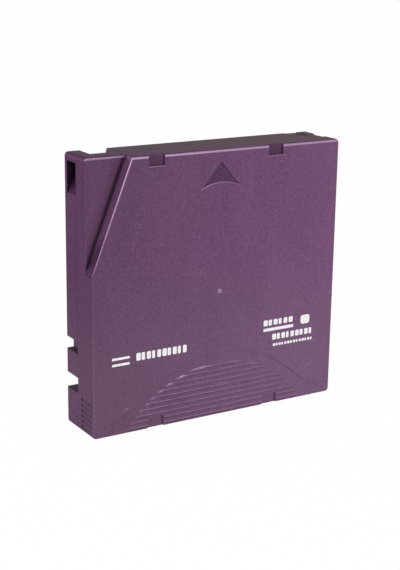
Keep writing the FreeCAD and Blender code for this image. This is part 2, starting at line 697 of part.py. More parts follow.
def top_shell(block):
    """The arrow side of the case, down to the seam."""
    shell = block.common(box((LEFT, RIGHT), (ARROW_FACE, SEAM), (0, FRONT)))
    shell = shell.cut([cavity(), seam_groove(), arch_field()] + side_grooves())
    posts = [disc(x, z, SCREW_POST_RADIUS, (ARROW_INNER, SEAM)) for x, z in SCREW_PLACES]
    blade = box((-LOCK_BLADE_LENGTH / 2, LOCK_BLADE_LENGTH / 2),
                (ARROW_INNER, ARROW_INNER + LOCK_BLADE_REACH),
                (REEL_Z - BRAKE_SLOT_WIDTH / 2 + GAP, REEL_Z + BRAKE_SLOT_WIDTH / 2 - GAP))
    seat_radius = BRAKE_SPRING_RADIUS + BRAKE_SPRING_WIRE / 2 + GAP
    seat = ring(0, REEL_Z, seat_radius, seat_radius + SPRING_SEAT_RING,
                (ARROW_INNER, ARROW_INNER + SPRING_SEAT_HEIGHT))
    ribs = [rib.cut(edge_notch_boxes(0)) for rib in grip_ribs()]
    shell = shell.fuse(posts + ribs + [blade, seat] + shell_insides(ARROW_INNER, 1))
    pilots = [disc(x, z, SCREW_SHANK_RADIUS, (WINDOW_INNER - SCREW_LENGTH - GAP, SEAM))
              for x, z in SCREW_PLACES]
    return cut_all(shell, door_cuts() + pilots + [tab_window(), label_recess()])


def bottom_shell(block):
    """The window side of the case, from the seam out."""
    shell = block.common(box((LEFT, RIGHT), (SEAM, WINDOW_FACE), (0, FRONT)))
    shell = shell.cut([cavity(), seam_groove(), leading_edge_dip()])
    posts = [disc(x, z, SCREW_POST_RADIUS, (SEAM, WINDOW_INNER)) for x, z in SCREW_PLACES]
    rest = ring(0, REEL_Z, WINDOW_RADIUS, WINDOW_RADIUS + WINDOW_RING,
                (FLANGE_OUTER_Y + REEL_REST_GAP, WINDOW_INNER))
    shell = shell.fuse(posts + [rest, spring_stop()] + chip_gussets() + shell_insides(WINDOW_INNER, -1))
    holes = [disc(0, REEL_Z, WINDOW_RADIUS, (0, WINDOW_FACE + OUT)), pocket(), front_slot(0)]
    for x, z in SCREW_PLACES:
        holes.append(disc(x, z, SCREW_SHANK_RADIUS + SCREW_CLEARANCE, (SEAM - OUT, WINDOW_FACE)))
        holes.append(disc(x, z, SCREW_HEAD_RADIUS + 2 * SCREW_CLEARANCE, (WINDOW_INNER, WINDOW_FACE + OUT)))
    holes += grip_notch_boxes(0) + locating_holes(0) + door_cuts() + [tab_window(), label_recess()]
    return cut_all(shell, holes)


def spring_stop():
    """The block that the door spring pushes against."""
    reach = DOOR_SPRING_RADIUS + DOOR_SPRING_WIRE
    return box((SPRING_X - reach, RIGHT_INNER), (-reach, WINDOW_INNER),
               (DOOR_SPRING_BASE - RIB, DOOR_SPRING_BASE))


def chip_gussets():
    """Two small walls that hold the memory chip across the corner of the case."""
    middle = RIGHT - CHIP_INSET_X
    reach = CHIP_WIDTH
    half = CHIP_GUSSET_WALL / 2
    walls = []
    for side in (-1, 1):
        x = middle + side * (CHIP_LENGTH + CHIP_GUSSET_WALL) / 2 + side * GAP
        walls.append(box((x - half, x + half), (WINDOW_INNER - reach, WINDOW_INNER),
                         (LABEL_WALL, LABEL_WALL + reach)))
    return walls


# ---------------------------------------------------------------- reel
def reel_hub():
    """The hub with its window-side flange, the drive's face gear outside and the brake's teeth inside."""
    cup = disc(0, REEL_Z, HUB_RADIUS, (-FLANGE_INNER_Y, HUB_FACE_Y))
    flange = disc(0, REEL_Z, FLANGE_RADIUS, (FLANGE_INNER_Y, FLANGE_OUTER_Y))
    face = disc(0, REEL_Z, WINDOW_RADIUS - 2 * GAP, (FLANGE_INNER_Y, HUB_FACE_Y))
    body = fuse_all([cup, flange, face]).cut(
        disc(0, REEL_Z, HUB_INNER_RADIUS, (-FLANGE_INNER_Y - OUT, HUB_FLOOR_Y)))
    half = DRIVE_GEAR_FACE / 2
    tip = HUB_FACE_Y + DRIVE_TOOTH_HEIGHT
    gear = ring(0, REEL_Z, DRIVE_GEAR_RADIUS - half, DRIVE_GEAR_RADIUS + half, (HUB_FACE_Y, tip))
    gear = gear.cut(face_gear_gaps(DRIVE_TEETH, DRIVE_GEAR_RADIUS, DRIVE_GEAR_FACE, HUB_FACE_Y, tip,
                                  DRIVE_GAP_SHARE))
    half = BRAKE_GEAR_FACE / 2
    start = 90 + (360 / LOCK_SEGMENTS - LOCK_SEGMENT_SWEEP) / 2
    segment = arc_band(BRAKE_GEAR_RADIUS - half, BRAKE_GEAR_RADIUS + half, (LOCK_TIP_Y, HUB_FLOOR_Y),
                       start, LOCK_SEGMENT_SWEEP)
    gaps = face_gear_gaps(BRAKE_TEETH, BRAKE_GEAR_RADIUS, BRAKE_GEAR_FACE, PAD_FACE_Y, LOCK_TIP_Y,
                          BRAKE_GAP_SHARE)
    lock = [part.cut(gaps) for part in spun_copies(segment, LOCK_SEGMENTS)]
    leg = disc(0, REEL_Z + DRIVE_GEAR_RADIUS, PAD_LEG_RADIUS + PAD_LEG_CLEARANCE,
               (HUB_FLOOR_Y - GAP, tip + OUT))
    return cut_all(body.fuse([gear] + lock), spun_copies(leg, LOCK_SEGMENTS))


def reel_flange():
    """The arrow-side flange, welded to the hub's open end and centred by a short lip inside it."""
    inner = HUB_INNER_RADIUS - HUB_LIP_WALL
    plate = ring(0, REEL_Z, inner, FLANGE_RADIUS, (-FLANGE_OUTER_Y, -FLANGE_INNER_Y))
    lip = ring(0, REEL_Z, inner, HUB_INNER_RADIUS, (-FLANGE_INNER_Y, -FLANGE_INNER_Y + HUB_LIP_LENGTH))
    return fuse_all([plate, lip])


def drive_plate():
    """The steel ring that the drive's magnet pulls on."""
    outer = DRIVE_GEAR_RADIUS - DRIVE_GEAR_FACE / 2 - GAP
    return ring(0, REEL_Z, PLATE_INNER_RADIUS, outer, (HUB_FACE_Y, HUB_FACE_Y + PLATE_THICKNESS))


def tape_pack():
    return ring(0, REEL_Z, HUB_RADIUS, TAPE_PACK_RADIUS, (-TAPE_WIDTH / 2, TAPE_WIDTH / 2))


# ---------------------------------------------------------------- brake
def brake():
    """The toothed button that locks the reel. Its slotted boss keeps it from turning."""
    half = BRAKE_GEAR_FACE / 2
    tip = BRAKE_FACE_Y + BRAKE_TOOTH_HEIGHT
    plate = disc(0, REEL_Z, BRAKE_GEAR_RADIUS + half + GAP, (BRAKE_BACK_Y, BRAKE_FACE_Y))
    teeth = ring(0, REEL_Z, BRAKE_GEAR_RADIUS - half, BRAKE_GEAR_RADIUS + half, (BRAKE_FACE_Y, tip))
    gaps = face_gear_gaps(BRAKE_TEETH, BRAKE_GEAR_RADIUS, BRAKE_GEAR_FACE, BRAKE_FACE_Y, tip, BRAKE_GAP_SHARE)
    teeth = teeth.cut([spin(gap, 180.0 / BRAKE_TEETH) for gap in gaps])
    nose = disc(0, REEL_Z, PAD_CENTRE_RADIUS / 2, (BRAKE_FACE_Y, PAD_FACE_Y - BRAKE_TOOTH_ROOT / 2))
    boss = disc(0, REEL_Z, BRAKE_BOSS_RADIUS, (BRAKE_BOSS_END_Y, BRAKE_BACK_Y))
    body = fuse_all([plate, teeth, nose, boss])
    half = BRAKE_SLOT_WIDTH / 2
    slot = box((-BRAKE_BOSS_RADIUS - GAP, BRAKE_BOSS_RADIUS + GAP),
               (BRAKE_BOSS_END_Y - OUT, BRAKE_BACK_Y - GAP), (REEL_Z - half, REEL_Z + half))
    return cut_all(body, [slot])


def release_pad():
    """The three-legged pad that the drive pushes through the hub's floor to lift the brake."""
    y_span = (PAD_FACE_Y, PAD_FACE_Y + PAD_THICKNESS)
    half = PAD_ARM_WIDTH / 2
    centre = disc(0, REEL_Z, PAD_CENTRE_RADIUS, y_span)
    arm = box((-half, half), y_span, (REEL_Z, REEL_Z + DRIVE_GEAR_RADIUS))
    foot = disc(0, REEL_Z + DRIVE_GEAR_RADIUS, PAD_LEG_RADIUS,
                (PAD_FACE_Y, HUB_FACE_Y + DRIVE_TOOTH_HEIGHT - PAD_LEG_RECESS))
    return fuse_all([centre] + spun_copies(fuse_all([arm, foot]), LOCK_SEGMENTS))


def brake_spring():
    return coil(BRAKE_SPRING_RADIUS, BRAKE_SPRING_WIRE, BRAKE_BACK_Y - ARROW_INNER, BRAKE_SPRING_TURNS,
                Vec(0, ARROW_INNER, REEL_Z), Vec(0, 1, 0))


# ---------------------------------------------------------------- door
def door():
    """The sliding door: a plate with a tab in front for the drive's lever and a lug behind for its spring."""
    x_span = (DOOR_INNER_X, DOOR_OUTER_X)
    plate = box(x_span, (-DOOR_HALF_HEIGHT, DOOR_HALF_HEIGHT), (DOOR_BACK_Z, DOOR_FRONT_Z))
    half = DOOR_TAB_WIDTH / 2
    tab = box(x_span, (DOOR_TAB_OFFSET - half, DOOR_TAB_OFFSET + half), (DOOR_BACK_Z, FRONT - DOOR_TAB_INSET))
    half = DOOR_LUG_WIDTH / 2
    lug = box((SPRING_X - DOOR_SPRING_RADIUS - DOOR_SPRING_WIRE / 2, DOOR_OUTER_X), (-half, half),
              (DOOR_SPRING_TOP, DOOR_BACK_Z))
    peg = Part.makeCylinder(DOOR_SPRING_RADIUS - DOOR_SPRING_WIRE, RIB,
                            Vec(SPRING_X, 0, DOOR_SPRING_TOP - RIB),
                            Vec(0, 0, 1))
    return fuse_all([plate, tab, lug, peg])


def door_spring():
    return coil(DOOR_SPRING_RADIUS, DOOR_SPRING_WIRE, DOOR_SPRING_LENGTH, DOOR_SPRING_TURNS,
                Vec(SPRING_X, 0, DOOR_SPRING_BASE), Vec(0, 0, 1))


# ---------------------------------------------------------------- leader pin and tape end
def leader_pin():
    """A turned steel pin: two heads, two necks for the drive's hooks, and a waist that the tape is
    clipped to."""
    end = PIN_LENGTH / 2
    neck = end - PIN_HEAD_LENGTH
    collar = neck - PIN_NECK_LENGTH
    waist = collar - PIN_COLLAR
    upper = [(PIN_HEAD_RADIUS, end), (PIN_HEAD_RADIUS, neck), (PIN_NECK_RADIUS, neck),
             (PIN_NECK_RADIUS, collar),
             (PIN_HEAD_RADIUS, collar), (PIN_HEAD_RADIUS, waist), (PIN_SHAFT_RADIUS, waist)]
    lower = [(radius, -y) for radius, y in reversed(upper)]
    return turned_y(PIN_X, PIN_Z, [(0, end)] + upper + lower + [(0, -end)])


def pin_clip():
    """The plastic C that clamps the tape's end on the pin's waist, with its mouth where the tape comes in."""
    inner = PIN_SHAFT_RADIUS + TAPE_THICKNESS
    half = CLIP_LENGTH / 2
    points = [Vec(PIN_X + r, y, PIN_Z) for r, y in
              ((inner, -half), (inner + CLIP_WALL, -half), (inner + CLIP_WALL, half), (inner, half))]
    face = Part.Face(Part.makePolygon(points + points[:1]))
    face.rotate(Vec(PIN_X, 0, PIN_Z), Vec(0, 1, 0), -CLIP_START)
    return face.revolve(Vec(PIN_X, 0, PIN_Z), Vec(0, 1, 0), CLIP_MOUTH - 360)


def tape_leader():
    """The free run of tape from the pack to the pin, straight between the two rounds that it touches."""
    pack = TAPE_PACK_RADIUS + GAP / 4
    across, up = PIN_X, PIN_Z - REEL_Z
    reach = math.hypot(across, up)
    tilt = math.acos((pack - PIN_SHAFT_RADIUS) / reach)
    angle = math.atan2(up, across) - tilt
    out = Vec(math.cos(angle), 0, math.sin(angle))
    start = Vec(0, -TAPE_WIDTH / 2, REEL_Z) + out * pack
    end = Vec(PIN_X, -TAPE_WIDTH / 2, PIN_Z) + out * PIN_SHAFT_RADIUS
    points = [start, end, end + out * TAPE_THICKNESS, start + out * TAPE_THICKNESS]
    return prism(points, Vec(0, TAPE_WIDTH, 0))


def pin_spring():
    """A sheet spring on the leading wall whose two arms hold the pin's heads in their sockets."""
    half = PIN_LENGTH / 2
    sheet = PIN_SPRING_SHEET
    arm_x = PIN_X + PIN_HEAD_RADIUS + SEATED
    base = box((arm_x + sheet - PIN_SPRING_WIDTH, arm_x + sheet), (-half, half),
               (FRONT_INNER - sheet, FRONT_INNER))
    knee_z = PIN_Z - PIN_SPRING_KNEE
    toe_z = PIN_Z - PIN_HEAD_RADIUS
    toe_x = arm_x - PIN_SPRING_BEND
    outline = [(arm_x, FRONT_INNER), (arm_x, knee_z), (toe_x, toe_z), (toe_x + sheet, toe_z),
               (arm_x + sheet, knee_z), (arm_x + sheet, FRONT_INNER)]
    arm = prism_y(outline, (-half, -half + PIN_HEAD_LENGTH))
    return fuse_all([base, arm, mirrored_y(arm)])


# ---------------------------------------------------------------- small parts
def write_protect_tab():
    """The sliding tab, with a ribbed thumb ridge that shows in the window."""
    z = LABEL_WALL + GAP
    half = TAB_WINDOW_HEIGHT / 2
    ridge_x = (TAB_LEFT + GAP, TAB_LEFT + TAB_WINDOW_LENGTH - TAB_TRAVEL - GAP)
    wing = half + TAB_WING - GAP
    plate = box((ridge_x[0] - TAB_WING, ridge_x[1] + TAB_WING), (-wing, wing), (z, z + TAB_PLATE))
    ridge = box(ridge_x, (GAP - half, half - GAP), (TAB_RIDGE_DEPTH, z))
    middle = (ridge_x[0] + ridge_x[1]) / 2
    grooves = [box((middle + step - GAP, middle + step + GAP), (-half, half), (0, TAB_RIDGE_DEPTH + 2 * GAP))
               for step in (-RIB, 0, RIB)]
    return cut_all(fuse_all([plate, ridge]), grooves)


def memory_chip():
    """The contactless memory chip, leaning across the corner between the label wall and the window side."""
    lean = CHIP_WIDTH / 2 / math.sqrt(2) + CHIP_THICKNESS / math.sqrt(2)
    chip = box((-CHIP_LENGTH / 2, CHIP_LENGTH / 2), (-CHIP_WIDTH / 2, CHIP_WIDTH / 2),
               (-CHIP_THICKNESS / 2, CHIP_THICKNESS / 2))
    chip.rotate(Vec(0, 0, 0), Vec(1, 0, 0), 45)
    chip.translate(Vec(RIGHT - CHIP_INSET_X, WINDOW_INNER - lean, LABEL_WALL + lean))
    return chip


def case_screws():
    """Four cross-head screws, driven in from the window side."""
    screws = []
    for x, z in SCREW_PLACES:
        head = disc(x, z, SCREW_HEAD_RADIUS, (WINDOW_INNER, WINDOW_INNER + SCREW_HEAD_HEIGHT))
        shank = disc(x, z, SCREW_SHANK_RADIUS, (WINDOW_INNER - SCREW_LENGTH, WINDOW_INNER))
        reach = SCREW_CROSS_REACH
        thin = SCREW_CROSS_WIDTH / 2
        y_span = (WINDOW_INNER + SCREW_HEAD_HEIGHT / 2, WINDOW_FACE)
        cross = [box((x - reach, x + reach), y_span, (z - thin, z + thin)),
                 box((x - thin, x + thin), y_span, (z - reach, z + reach))]
        screws.append(cut_all(fuse_all([head, shank]), cross))
    return Part.makeCompound(screws)


# ---------------------------------------------------------------- all of them
def main():
    block = rounded_block()
    parts = {
        "top_shell": top_shell(block),
        "bottom_shell": bottom_shell(block),
        "case_screws": case_screws(),
        "reel_hub": reel_hub(),
        "reel_flange": reel_flange(),
        "drive_plate": drive_plate(),
        "tape_pack": tape_pack(),
        "tape_leader": tape_leader(),
        "brake": brake(),
        "brake_spring": brake_spring(),
        "release_pad": release_pad(),
        "door": door(),
        "door_spring": door_spring(),
        "leader_pin": leader_pin(),
        "pin_clip": pin_clip(),
        "pin_spring": pin_spring(),
        "write_protect_tab": write_protect_tab(),
        "memory_chip": memory_chip(),
    }
    os.makedirs("parts", exist_ok=True)
    for name, shape in parts.items():
        solids = len(shape.Solids)
        print(f"{name}: {solids} solid(s), {shape.Volume:.1f} mm3, valid {shape.isValid()}")
        shape.exportStep(f"parts/{name}.step")


main()
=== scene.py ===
"""The looks of a half-inch data tape cartridge in purple, metallic-flake plastic.

Metres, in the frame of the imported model: +Z is the way the cartridge goes into its drive,
-Y is the arrow side, which the camera sees, and +Y is the side with the reel window.
"""

import math

import bmesh
import bpy
from mathutils import Matrix, Vector


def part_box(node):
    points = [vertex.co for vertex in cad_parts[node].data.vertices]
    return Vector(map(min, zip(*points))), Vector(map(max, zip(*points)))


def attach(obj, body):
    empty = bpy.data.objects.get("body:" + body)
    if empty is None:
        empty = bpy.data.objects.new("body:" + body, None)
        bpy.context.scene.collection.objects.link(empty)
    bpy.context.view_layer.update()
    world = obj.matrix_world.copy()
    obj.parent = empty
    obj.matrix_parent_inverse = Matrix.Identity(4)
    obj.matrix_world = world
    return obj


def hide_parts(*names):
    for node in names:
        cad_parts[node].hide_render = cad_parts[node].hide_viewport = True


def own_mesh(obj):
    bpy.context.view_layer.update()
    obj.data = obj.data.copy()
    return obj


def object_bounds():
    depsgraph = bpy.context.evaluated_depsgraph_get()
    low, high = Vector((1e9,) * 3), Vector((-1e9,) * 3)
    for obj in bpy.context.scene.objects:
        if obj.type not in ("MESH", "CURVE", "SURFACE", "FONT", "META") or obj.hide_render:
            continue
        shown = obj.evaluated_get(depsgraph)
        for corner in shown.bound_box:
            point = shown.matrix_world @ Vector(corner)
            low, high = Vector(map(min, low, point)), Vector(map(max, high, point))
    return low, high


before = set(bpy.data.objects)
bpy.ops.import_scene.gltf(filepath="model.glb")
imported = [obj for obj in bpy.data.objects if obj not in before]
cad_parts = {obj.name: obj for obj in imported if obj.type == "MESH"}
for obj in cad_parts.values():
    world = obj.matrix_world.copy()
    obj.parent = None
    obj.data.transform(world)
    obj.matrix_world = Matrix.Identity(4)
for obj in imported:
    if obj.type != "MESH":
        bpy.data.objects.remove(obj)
CAD_LOW, CAD_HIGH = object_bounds()
MM = 0.001

# ---------------------------------------------------------------- view
# Angles are in degrees, and the lens and sensor in millimetres.
CAMERA_AZIMUTH = -31.599
CAMERA_ELEVATION = 15.632
CAMERA_ROLL = 0.851
CAMERA_DISTANCE = 481.08 * MM
CAMERA_RIGHT = -1.752 * MM
CAMERA_UP = -2.367 * MM
CAMERA_LENS = 80.53
CAMERA_SENSOR = 36.0
CAMERA_CLIP = (0.01, 50.0)

# ---------------------------------------------------------------- colours, linear
PURPLE = (0.150, 0.068, 0.147)
PURPLE_DEEP = (0.125, 0.052, 0.125)
PURPLE_PALE = (0.178, 0.086, 0.172)
FLAKE = (0.50, 0.30, 0.48)
PRINT_WHITE = (0.90, 0.88, 0.90)
BACKGROUND = (1.0, 1.0, 1.0)
EDGE_TINT = (0.34, 0.20, 0.34)
SPECULAR_LEVEL = 0.004
METALLIC = (0.21, 0.36)                 # of the plastic, and of a bright flake in it
ROUGHNESS = (0.33, 0.29)                # where the mottle is dark, and where it's pale
MOTTLE_SIZE = 1.0 * MM
CLOUD_SIZE = 14 * MM
CLOUD_STRETCH = (1, 1, 0.45)
CLOUD_SPAN = (0.35, 0.65)
CLOUD_SHARE = 0.40
FLAKE_SIZE = 0.50 * MM
FLAKE_RARITY = 0.84                     # the share of cells that hold no bright flake
FLAKE_SHARE = 0.10
GRAIN_SIZE = 0.22 * MM
GRAIN_DEPTH = 0.006 * MM
MOULDED_GRAIN_SIZE = 0.35 * MM
SCRATCH_SIZE = 0.5 * MM
FINE_NOISE = (3.0, 0.6)                 # detail and roughness
NOISE_SPAN = (0.3, 0.7)                 # where most of a noise's values lie

# ---------------------------------------------------------------- painted sheen, upward tint and painted highlights
# A painted grey sheen, stronger towards the bottom.
PAINTED_SHEEN = (0.19, 0.21, 0.19)
PAINTED_SHEEN_SHARE = 0.10
PAINTED_SHEEN_FROM = 60.0 * MM
PAINTED_SHEEN_FULL = 24.0 * MM
# A darker, browner tint on faces that look up, more of it towards the window side and the right.
UPWARD_TINT = (0.078, 0.062, 0.032)
UPWARD_TINT_TILT = (0.8, 0.95)
UPWARD_TINT_ACROSS = 0.45                      # what is added from the arrow side to the window side
UPWARD_TINT_ALONG = 0.40                       # what is added from the left side to the right
# A painted highlight on the edges that face up.
PAINTED_HIGHLIGHT = (0.36, 0.23, 0.35)
HIGHLIGHT_FROM = 60.0 * MM
HIGHLIGHT_TOP_DEPTH = 0.32 * MM
HIGHLIGHT_TOP_BLUR = 0.12 * MM
HIGHLIGHT_GUIDE_TOP = 0.8
HIGHLIGHT_GUIDE_RIM = 0.35 * MM
HIGHLIGHT_GUIDE_GAP = (0.50 * MM, 0.25 * MM)
HIGHLIGHT_GUIDE_DEPTH = 0.45 * MM
HIGHLIGHT_GUIDE_EDGE = 1.1
RIM_DEPTH = (0.03 * MM, 0.30 * MM)
RIM_BLUR = 0.04 * MM
RIM_TILT = (0.12, 0.35)
RIM_HIGHLIGHT = (0.20, 0.8)
TOP_LINE = (CAD_HIGH.z - 1.0 * MM, CAD_HIGH.z - 0.40 * MM)

# ---------------------------------------------------------------- painted light and shade on the plastic
# A shade is a factor on the colour, and each shade here is painted light and shade: below 1 it darkens
# the colour, above 1 it brightens it. A pair of shades runs from the left side to the right, apart from the
# upward painted light, which runs from the label edge upwards.
MARGIN = 0.1 * MM
# Painted light and shade: darker at the left and the top, brighter at the right and the bottom.
PAINTED_LIGHT_ACROSS = (0.76, 1.10)
PAINTED_LIGHT_UP = (1.15, 0.94)
# Painted shade behind the broad faces, from the left side to the right.
PAINTED_SHADE_BEHIND = (0.76, 0.59)
FACE_DEPTH = 0.44 * MM
FACE_BLUR = 0.04 * MM
NOTCH_DEPTH = 1.1 * MM
NOTCH_TOP = 4.2 * MM
GUIDE_WIDTH = 16.0 * MM
GUIDE_LENGTH = 41.0 * MM
GUIDE_DEPTH = 5.5 * MM
GUIDE_LOW_END = CAD_HIGH.z - GUIDE_LENGTH - 1.0 * MM
# The guide's painted light on its wall and floor, and painted shade at its corner and its wall's foot:
GUIDE_WALL_GAP = 0.2 * MM
GUIDE_WALL_RIM = 0.5 * MM
GUIDE_WALL_PAINTED_LIGHT = 1.36
GUIDE_WALL_DARKENS = (3.4 * MM, 5.4 * MM)
GUIDE_FLOOR_PAINTED_LIGHT = 1.33
GUIDE_CORNER_PAINTED_SHADE = 0.4
GUIDE_CORNER_GAP = (1.4 * MM, 0.1 * MM)
GUIDE_FOOT = (70.0 * MM, 79.0 * MM)
GUIDE_FOOT_SLANT = 1.6
GUIDE_FOOT_PAINTED_SHADE = 0.26
GUIDE_FADE = 5.0 * MM
GUIDE_FADE_SHARE = 0.5
POCKET_DEPTH = 3.0 * MM
POCKET_ACROSS = (1.3 * MM, 8.6 * MM)
POCKET_UP = (87.0 * MM, 99.4 * MM)
POCKET_MOUTH = 0.15 * MM
# Painted shade inside the pocket, from where it starts to how dark it grows:
POCKET_DARKENS = 0.2 * MM
POCKET_PAINTED_SHADE = (0.5, 0.85)           # at its mouth, and at its floor
GROOVE_TOP = 24.0 * MM
GROOVE_ACROSS = (1.0 * MM, 10.0 * MM)
# Painted shade in the grooves:
GROOVE_DARKENS = (0.04 * MM, 0.25 * MM)
GROOVE_DEPTH = 0.7 * MM
GROOVE_PAINTED_SHADE = 0.60
# Painted shade on the rounded lower edges:
LOWER_EDGE_TILT = (-0.15, -0.6)
LOWER_EDGE_HEIGHT = 1.5 * MM
LOWER_EDGE_PAINTED_SHADE = 0.45

# ---------------------------------------------------------------- print on the arrow side
PRINT_THICKNESS = 0.03 * MM
# Each row is (left end, lower edge, length, height, number of blocks), in millimetres. The left end is
# measured from the left side.
LEFT_PRINT = ((7.6, 28.9, 7.2, 0.9, 1), (7.6, 26.6, 7.2, 0.9, 1), (17.5, 27.4, 21.7, 2.9, 10))
RIGHT_PRINT = ((72.8, 32.0, 14.0, 2.3, 6), (72.8, 29.8, 14.0, 1.2, 1), (90.2, 30.4, 4.2, 3.6, 1),
               (77.0, 26.0, 19.4, 2.4, 9), (77.4, 23.4, 19.0, 1.1, 14))
BLOCK_SHARES = (0.84, 0.66, 0.78, 0.58, 0.74)
PRINT_CORNER_SHARE = 0.28
PRINT_CORNER_STEPS = 6

# ---------------------------------------------------------------- gate mark and sink marks
GATE_RADIUS = 1.0 * MM
GATE_HEIGHT = 48.9 * MM
GATE_COLOUR = (0.27, 0.16, 0.26)
# Each point is (share of the radius, height in millimetres).
GATE_PROFILE = ((0.0, 0.10), (0.45, 0.09), (0.8, 0.05), (1.0, 0.0))
GATE_SIDES = 32
# The sink marks' depths are in metres, and their other sizes in millimetres.
SINK_RING_RADIUS = 12.4
SINK_RING_WIDTH = 1.2
SINK_RING_DEPTH = 0.02 * MM
SINK_CENTRES = ((-40.0, 12.7), (40.6, 16.0))
SINK_RADII = (2.7, 3.9)
SINK_DEPTH = 0.24 * MM

# ---------------------------------------------------------------- studio
AMBIENT = 0.25
FLOOR_SIZE = 12.0
FLOOR_GREY = (0.88, 0.88, 0.88)
FLOOR_GLOW = 0.985
LAMP_AIM = (0, 0, 0.05)
# Each lamp is (name, place, size, power in watts).
LAMPS = (("key", (0.30, -1.20, 0.50), 0.6, 8.8),
         ("left", (-1.15, -0.18, 0.35), 0.3, 8.5),
         ("top", (0.0, 0.10, 1.15), 0.4, 1.6),
         ("right", (1.35, -0.05, 0.10), 0.3, 5.0),
         ("back", (-0.90, 1.20, 0.30), 0.5, 6.0))


# ---------------------------------------------------------------- shader helpers
class Shader:
    """A short way to write one material's nodes."""

    def __init__(self, name):
        self.material = bpy.data.materials.new(name)
        self.material.use_nodes = True
        self.tree = self.material.node_tree
        self.tree.nodes.clear()
        self.surface = self.node("ShaderNodeBsdfPrincipled")
        output = self.node("ShaderNodeOutputMaterial")
        self.link(self.surface.outputs["BSDF"], output.inputs["Surface"])
        self.place = self.node("ShaderNodeTexCoord").outputs["Object"]

    def node(self, kind, **settings):
        made = self.tree.nodes.new(kind)
        for key, value in settings.items():
            setattr(made, key, value)
        return made

    def link(self, source, target):
        self.tree.links.new(source, target)

    def put(self, target, value):
        """A number, colour or vector is set on the socket; a socket is linked to it."""
        if isinstance(value, bpy.types.NodeSocket):
            self.link(value, target)
        elif isinstance(value, tuple) and len(value) == 3 and target.type == "RGBA":
            target.default_value = (*value, 1.0)
        else:
            target.default_value = value

    def set(self, **values):
        """Sets the surface's inputs by name: base_color is Base Color."""
        for key, value in values.items():
            self.put(self.surface.inputs[key.replace("_", " ").title().replace("Ior", "IOR")], value)

    def noise(self, size, detail=2.0, rough=0.5, stretch=(1, 1, 1)):
        """Noise whose features are about size metres across, from 0 to 1."""
        texture = self.node("ShaderNodeTexNoise")
        self.put(texture.inputs["Scale"], 1.0 / size)
        self.put(texture.inputs["Detail"], detail)
        self.put(texture.inputs["Roughness"], rough)
        self.link(self.stretched(stretch), texture.inputs["Vector"])
        return texture.outputs["Fac"]

    def cells(self, size):
        """One random colour for each cell of about size metres."""
        texture = self.node("ShaderNodeTexVoronoi")
        self.put(texture.inputs["Scale"], 1.0 / size)
        self.link(self.place, texture.inputs["Vector"])
        return texture.outputs["Color"]

    def stretched(self, stretch):
        if stretch == (1, 1, 1):
            return self.place
        mapping = self.node("ShaderNodeMapping")
        self.put(mapping.inputs["Scale"], stretch)
        self.link(self.place, mapping.inputs["Vector"])
        return mapping.outputs["Vector"]

    def math(self, operation, *values):
        step = self.node("ShaderNodeMath", operation=operation)
        for socket, value in zip(step.inputs, values):
            self.put(socket, value)
        return step.outputs["Value"]

    def split(self, vector):
        parts = self.node("ShaderNodeSeparateXYZ")
        self.link(vector, parts.inputs["Vector"])
        return parts.outputs

    def span(self, value, low, high, to_low=0.0, to_high=1.0, smooth=False):
        """The value carried from low..high over to to_low..to_high, and held beyond them."""
        step = self.node("ShaderNodeMapRange")
        step.interpolation_type = "SMOOTHSTEP" if smooth else "LINEAR"
        for name, number in (("From Min", low), ("From Max", high), ("To Min", to_low), ("To Max", to_high)):
            self.put(step.inputs[name], number)
        self.put(step.inputs["Value"], value)
        return step.outputs["Result"]

    def blend(self, factor, first, second):
        """A blend of two colours. A Mix node's colour sockets are found by number."""
        mix = self.node("ShaderNodeMix", data_type="RGBA")
        self.put(mix.inputs[0], factor)
        self.put(mix.inputs[6], first)
        self.put(mix.inputs[7], second)
        return mix.outputs[2]

    def product(self, *values):
        result = values[0]
        for value in values[1:]:
            result = self.math("MULTIPLY", result, value)
        return result

    def rest(self, value):
        return self.math("SUBTRACT", 1.0, value)

    def below(self, value, limit):
        return self.math("LESS_THAN", value, limit)

    def above(self, value, limit):
        return self.math("GREATER_THAN", value, limit)

    def between(self, value, low, high):
        return self.product(self.above(value, low), self.below(value, high))

    def soft_between(self, value, low, high, blur):
        return self.product(self.span(value, low - blur, low + blur),
                            self.span(value, high + blur, high - blur))

    def scaled(self, colour, factor):
        """A colour times a number."""
        step = self.node("ShaderNodeVectorMath", operation="SCALE")
        self.put(step.inputs[0], colour)
        self.put(step.inputs["Scale"], factor)
        return step.outputs["Vector"]

    def bump(self, height, distance, under=None):
        """Bump that is distance metres high, on top of the bump given as under."""
        step = self.node("ShaderNodeBump")
        self.put(step.inputs["Strength"], 1.0)
        self.put(step.inputs["Distance"], distance)
        self.put(step.inputs["Height"], height)
        if under is not None:
            self.link(under, step.inputs["Normal"])
        return step.outputs["Normal"]

    def radius_from(self, x, z):
        """Distance from a line along Y, in millimetres. x and z are in millimetres."""
        parts = self.split(self.place)
        across = self.math("SUBTRACT", self.math("MULTIPLY", parts["X"], 1 / MM), x)
        up = self.math("SUBTRACT", self.math("MULTIPLY", parts["Z"], 1 / MM), z)
        return self.math("SQRT", self.math("ADD", self.math("MULTIPLY", across, across),
                                           self.math("MULTIPLY", up, up)))


